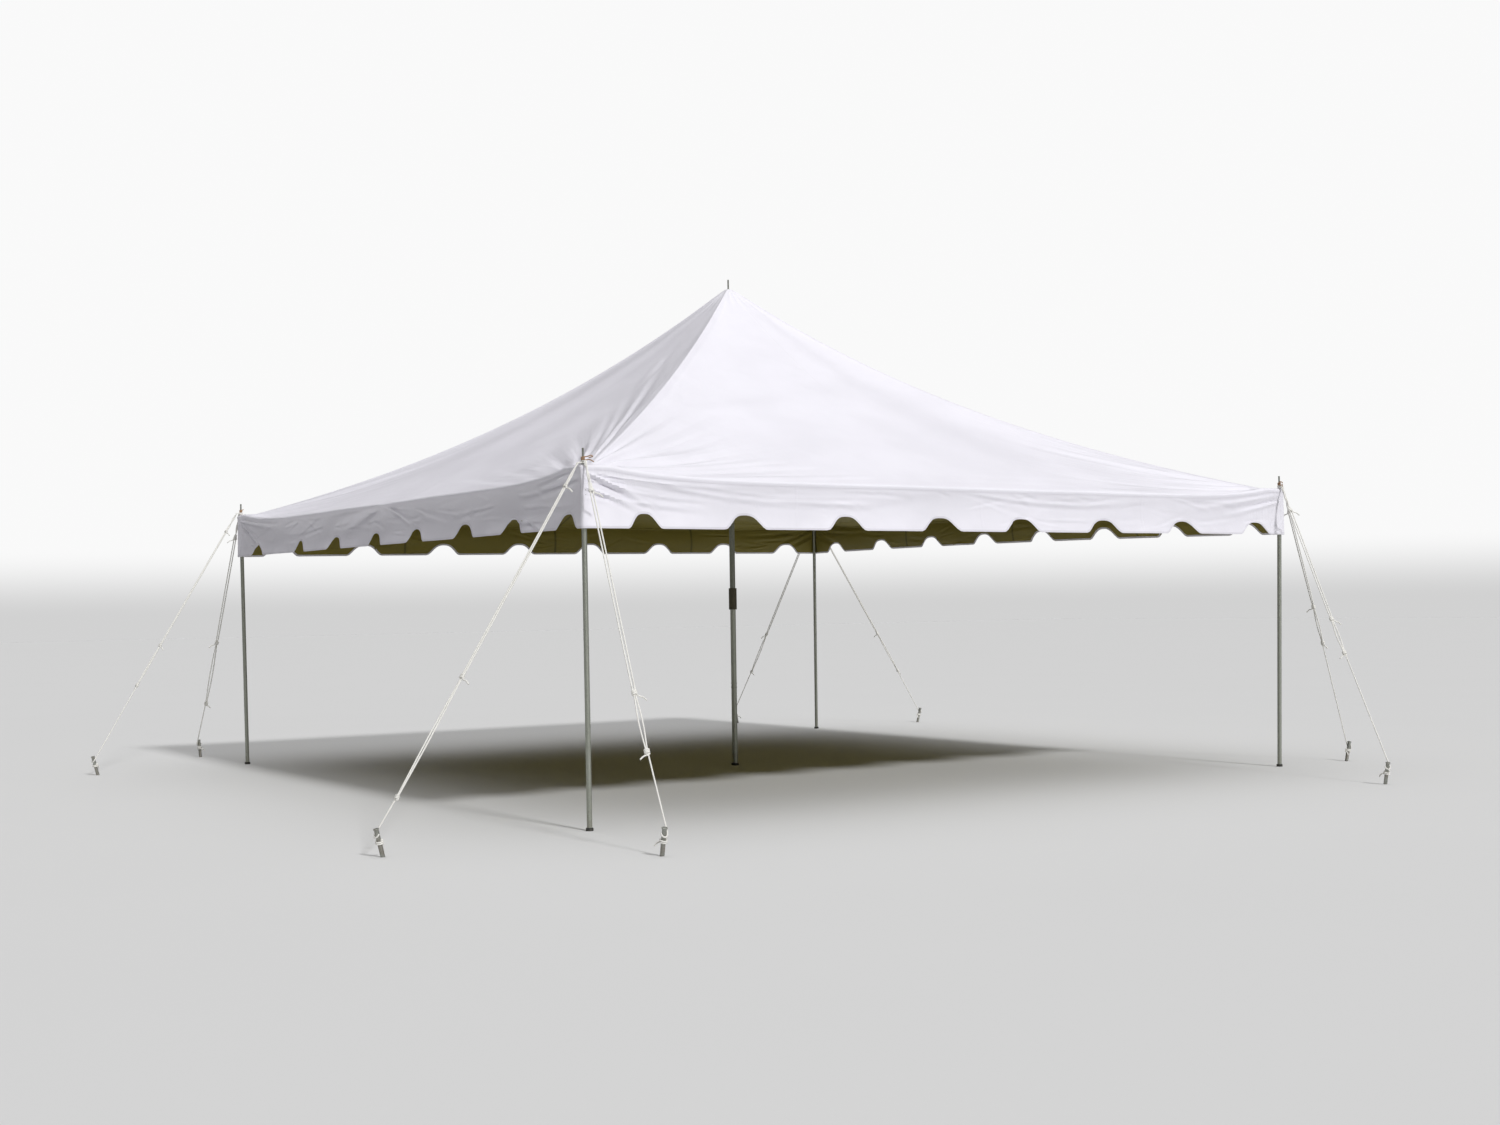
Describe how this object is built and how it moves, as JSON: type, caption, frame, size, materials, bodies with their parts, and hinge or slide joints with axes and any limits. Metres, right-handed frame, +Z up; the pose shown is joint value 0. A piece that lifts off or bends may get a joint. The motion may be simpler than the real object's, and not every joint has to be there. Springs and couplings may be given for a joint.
{
  "type": "marquee tent",
  "caption": "Square marquee tent: a white canopy in a hanging curve from a centre pole to corner poles, with scalloped valances, guy ropes and stakes",
  "frame": {"origin": "on the ground under the centre pole, at the middle of the flat underside of its foot cap", "axes": "+Z up, -Y out through the front side, +X to the right seen from the front"},
  "size_m": [8.9788, 8.9263, 4.001],
  "materials": {
    "canopy": "white coated PVC cloth with a faint lavender cast, soft sheen outside, dark olive where its underside is in shade",
    "patch": "doubled white coated cloth with sewn edges",
    "pole": "galvanised steel tube, dull",
    "pin": "plain steel rod",
    "sleeve": "dark olive-brown painted steel sleeve",
    "foot_cap": "dark moulded rubber",
    "rope": "white twisted rope, stained tan towards the ground",
    "stake": "bare steel stake, dull and worn"
  },
  "bodies": {
    "root": {"centre_pin": "pin", "centre_pole_lower": "pole", "centre_pole_sleeve": "sleeve", "centre_pole_upper": "pole", "corner_patch_back_left": "patch", "corner_patch_back_right": "patch", "corner_patch_front_left": "patch", "corner_patch_front_right": "patch", "corner_pin_back_left": "pin", "corner_pin_back_right": "pin", "corner_pin_front_left": "pin", "corner_pin_front_right": "pin", "corner_pole_back_left": "pole", "corner_pole_back_right": "pole", "corner_pole_front_left": "pole", "corner_pole_front_right": "pole", "foot_cap_back_left": "foot_cap", "foot_cap_back_right": "foot_cap", "foot_cap_centre": "foot_cap", "foot_cap_front_left": "foot_cap", "foot_cap_front_right": "foot_cap", "guy_rope_back_left_back": "rope", "guy_rope_back_left_left": "rope", "guy_rope_back_right_back": "rope", "guy_rope_back_right_right": "rope", "guy_rope_front_left_front": "rope", "guy_rope_front_left_left": "rope", "guy_rope_front_right_front": "rope", "guy_rope_front_right_right": "rope", "roof_back": "canopy", "roof_front": "canopy", "roof_left": "canopy", "roof_right": "canopy", "stake_back_left_back": "stake", "stake_back_left_left": "stake", "stake_back_right_back": "stake", "stake_back_right_right": "stake", "stake_front_left_front": "stake", "stake_front_left_left": "stake", "stake_front_right_front": "stake", "stake_front_right_right": "stake", "valance_back": "canopy", "valance_front": "canopy", "valance_left": "canopy", "valance_right": "canopy"}
  },
  "joints": []
}
